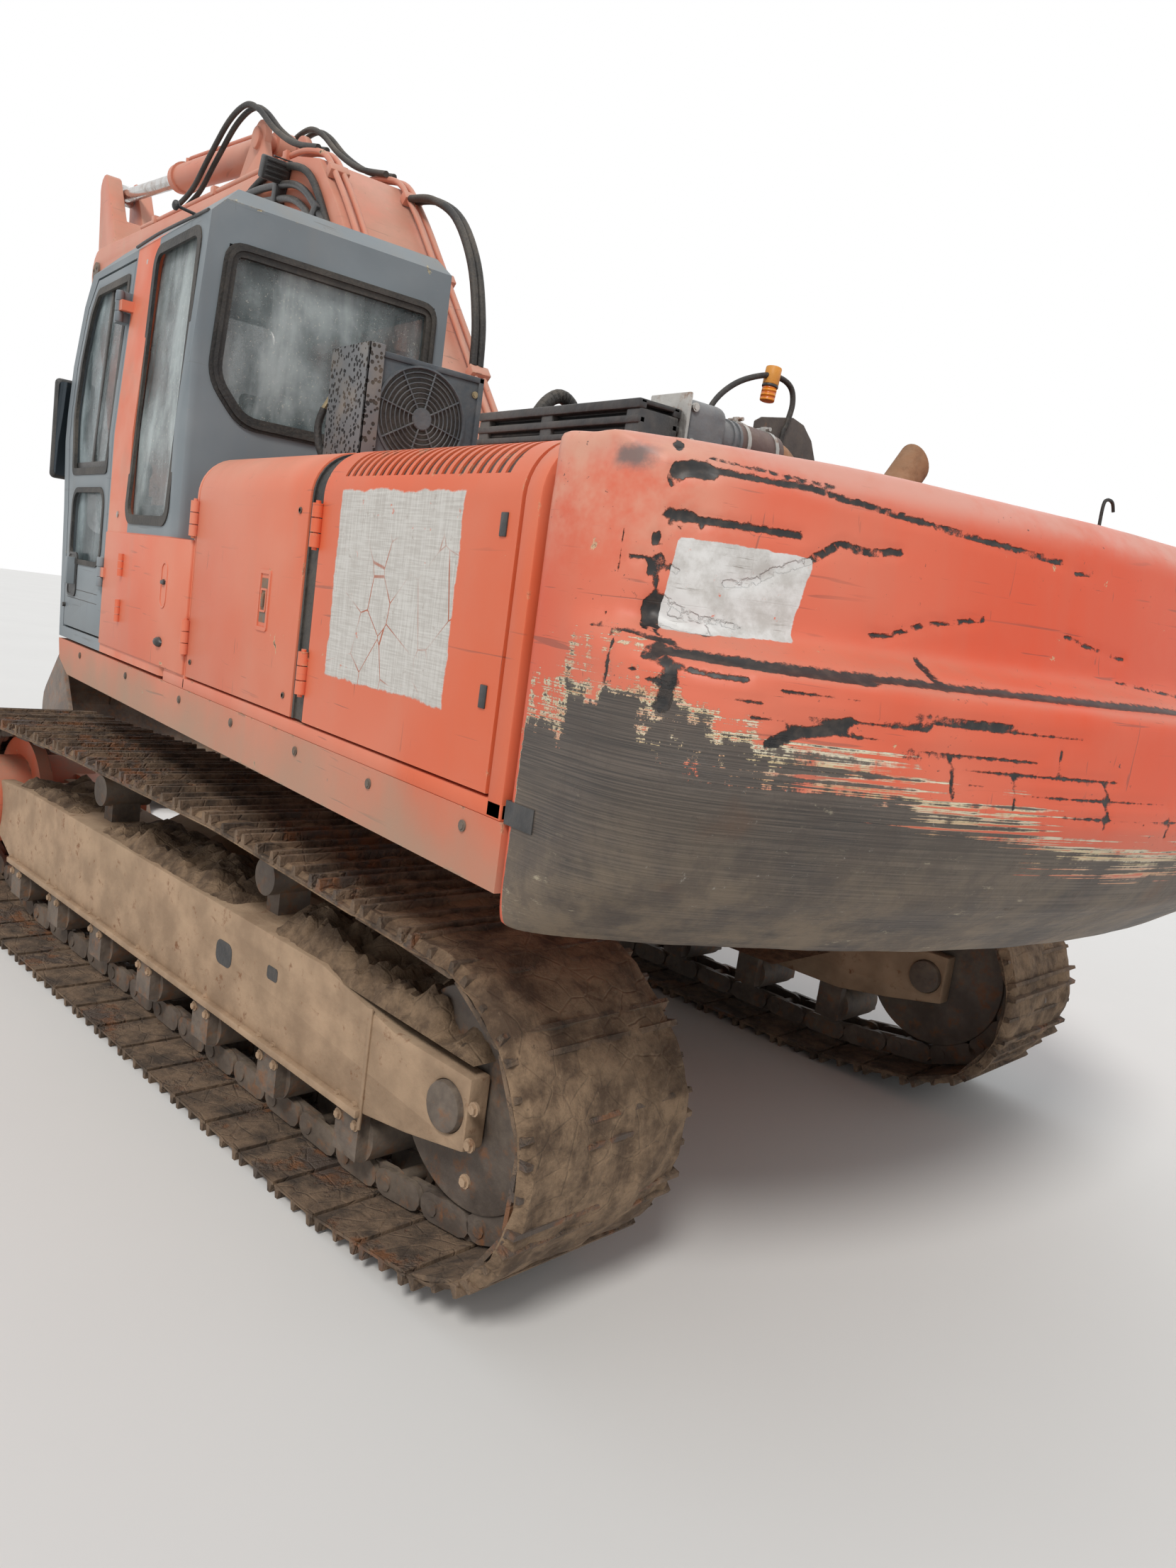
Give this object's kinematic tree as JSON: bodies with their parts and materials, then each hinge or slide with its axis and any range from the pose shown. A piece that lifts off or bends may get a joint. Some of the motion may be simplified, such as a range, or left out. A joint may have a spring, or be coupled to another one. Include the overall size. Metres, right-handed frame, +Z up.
{
  "type": "crawler excavator",
  "caption": "Full-size crawler excavator with a turning upper structure, hollow cab, hinged doors, boom, arm and bucket on their cylinders, and two fixed track loops.",
  "frame": {"origin": "on the ground, under the swing axis", "axes": "+X the way the upper structure and boom face, +Y towards the cab side, +Z up; the undercarriage is turned 7 degrees about Z with its idlers to the rear"},
  "size_m": [10.0069, 3.7316, 4.9572],
  "materials": {
    "dusty_steel": "worn paint under dried mud and dust",
    "track_steel": "rusty steel caked with dried mud",
    "orange_paint": "sun-faded orange paint, scratched and dusty",
    "weight_paint": "orange-red paint worn to dark scraped metal below",
    "grey_paint": "dull blue-grey paint with dents and dust",
    "pane": "dusty cab glass",
    "seat_cloth": "worn dark seat cloth",
    "black_plastic": "weathered black plastic",
    "dark_metal": "dark oily metal",
    "rubber_hose": "dusty black rubber",
    "rusty_steel": "bare steel with brown rust",
    "rod_chrome": "chromed rod"
  },
  "bodies": {
    "undercarriage": {"car_body": "dusty_steel", "swing_bearing": "dusty_steel", "track_frame_left": "dusty_steel", "track_frame_right": "dusty_steel", "track_left": "track_steel", "track_right": "track_steel", "final_drives": "orange_paint", "idlers": "dusty_steel", "rollers": "dusty_steel"},
    "upper_structure": {"main_frame": "orange_paint", "counterweight": "weight_paint", "cab_shell": "grey_paint", "cab_glass": "pane", "operator_seat": "seat_cloth", "side_mirror": "black_plastic", "left_housing": "orange_paint", "condenser": "dark_metal", "engine_block": "dark_metal", "cooler": "dark_metal", "charge_pipe": "rubber_hose", "beacon_rail": "black_plastic", "exhaust_pipe": "rusty_steel", "hydraulic_tank": "orange_paint", "fuel_tank": "orange_paint", "tool_box": "orange_paint", "right_housing": "orange_paint", "handrails": "dark_metal"},
    "cab_door": {"cab_door": "grey_paint", "cab_door_glass": "pane"},
    "left_front_door": {"left_front_door": "orange_paint"},
    "left_rear_door": {"left_rear_door": "orange_paint"},
    "pump_door": {"pump_door": "orange_paint"},
    "boom": {"boom": "orange_paint", "boom_pipes": "dark_metal"},
    "boom_barrels": {"boom_barrels": "orange_paint"},
    "boom_rods": {"boom_rods": "rod_chrome"},
    "arm": {"arm": "orange_paint"},
    "arm_barrel": {"arm_barrel": "orange_paint"},
    "arm_rod": {"arm_rod": "rod_chrome"},
    "bucket_barrel": {"bucket_barrel": "orange_paint"},
    "bucket_rod": {"bucket_rod": "rod_chrome"},
    "rocker": {"rocker": "rusty_steel"},
    "bucket_link": {"bucket_link": "rusty_steel"},
    "bucket": {"bucket": "rusty_steel"}
  },
  "joints": [
    {"name": "swing", "type": "hinge", "parent": "undercarriage", "child": "upper_structure", "pos_m": [0, 0, 1.13], "axis": [0, 0, 1], "continuous": true},
    {"name": "cab_door_hinge", "type": "hinge", "parent": "upper_structure", "child": "cab_door", "pos_m": [0.62, 1.507, 2.2], "axis": [0, 0, 1], "range_deg": [0, 165]},
    {"name": "left_front_door_hinge", "type": "hinge", "parent": "upper_structure", "child": "left_front_door", "pos_m": [-0.481, 1.505, 1.8], "axis": [0, 0, -1], "range_deg": [0, 95]},
    {"name": "left_rear_door_hinge", "type": "hinge", "parent": "upper_structure", "child": "left_rear_door", "pos_m": [-1.464, 1.505, 1.8], "axis": [0, 0, -1], "range_deg": [0, 95]},
    {"name": "pump_door_hinge", "type": "hinge", "parent": "upper_structure", "child": "pump_door", "pos_m": [-1.464, -1.505, 1.8], "axis": [0, 0, 1], "range_deg": [0, 95]},
    {"name": "boom_foot", "type": "hinge", "parent": "upper_structure", "child": "boom", "pos_m": [0.1, 0, 1.92], "axis": [0, -1, 0], "range_deg": [-61.6, 40.4]},
    {"name": "arm_foot", "type": "hinge", "parent": "boom", "child": "arm", "pos_m": [6.12917, 0, 4.06689], "axis": [0, -1, 0], "range_deg": [-15, 95]},
    {"name": "bucket_pin", "type": "hinge", "parent": "arm", "child": "bucket", "pos_m": [4.6764, 0, 1.21567], "axis": [0, -1, 0], "range_deg": [-128.8, 46.2]},
    {"name": "boom_barrel_pin", "type": "hinge", "parent": "upper_structure", "child": "boom_barrels", "pos_m": [0.74, 0, 1.42], "axis": [0, -1, 0], "range_deg": [-64.5, 42.5]},
    {"name": "boom_rod_slide", "type": "slide", "parent": "boom_barrels", "child": "boom_rods", "axis": [0.5432, 0, 0.8396], "range_m": [-0.79, 0.52]},
    {"name": "arm_barrel_pin", "type": "hinge", "parent": "boom", "child": "arm_barrel", "pos_m": [2.99958, 0, 4.44922], "axis": [0, -1, 0], "range_deg": [-4, 1]},
    {"name": "arm_rod_slide", "type": "slide", "parent": "arm_barrel", "child": "arm_rod", "axis": [0.9941, 0, 0.1084], "range_m": [-1.31, 0.22]},
    {"name": "bucket_barrel_pin", "type": "hinge", "parent": "arm", "child": "bucket_barrel", "pos_m": [6.61837, 0, 3.7054], "axis": [0, -1, 0], "range_deg": [-6.5, 2.5]},
    {"name": "bucket_rod_slide", "type": "slide", "parent": "bucket_barrel", "child": "bucket_rod", "axis": [-0.4022, 0, -0.9155], "range_m": [-0.33, 0.91]},
    {"name": "rocker_pin", "type": "hinge", "parent": "arm", "child": "rocker", "pos_m": [4.93886, 0, 1.62065], "axis": [0, -1, 0], "range_deg": [-85, 31]},
    {"name": "bucket_link_pin", "type": "hinge", "parent": "bucket", "child": "bucket_link", "pos_m": [5.09547, 0, 0.9384], "axis": [0, -1, 0], "range_deg": [-29, 80]}
  ],
  "couplings": [
    {"joint": "boom_barrel_pin", "follows": "boom_foot", "ratio": 1.03},
    {"joint": "boom_rod_slide", "follows": "boom_foot", "m_per_rad": 0.7309},
    {"joint": "arm_barrel_pin", "follows": "arm_foot", "ratio": -0.035},
    {"joint": "arm_rod_slide", "follows": "arm_foot", "m_per_rad": -0.7816},
    {"joint": "bucket_barrel_pin", "follows": "bucket_pin", "ratio": 0.045},
    {"joint": "bucket_rod_slide", "follows": "bucket_pin", "m_per_rad": -0.3983},
    {"joint": "rocker_pin", "follows": "bucket_pin", "ratio": 0.65},
    {"joint": "bucket_link_pin", "follows": "bucket_pin", "ratio": -0.62}
  ]
}
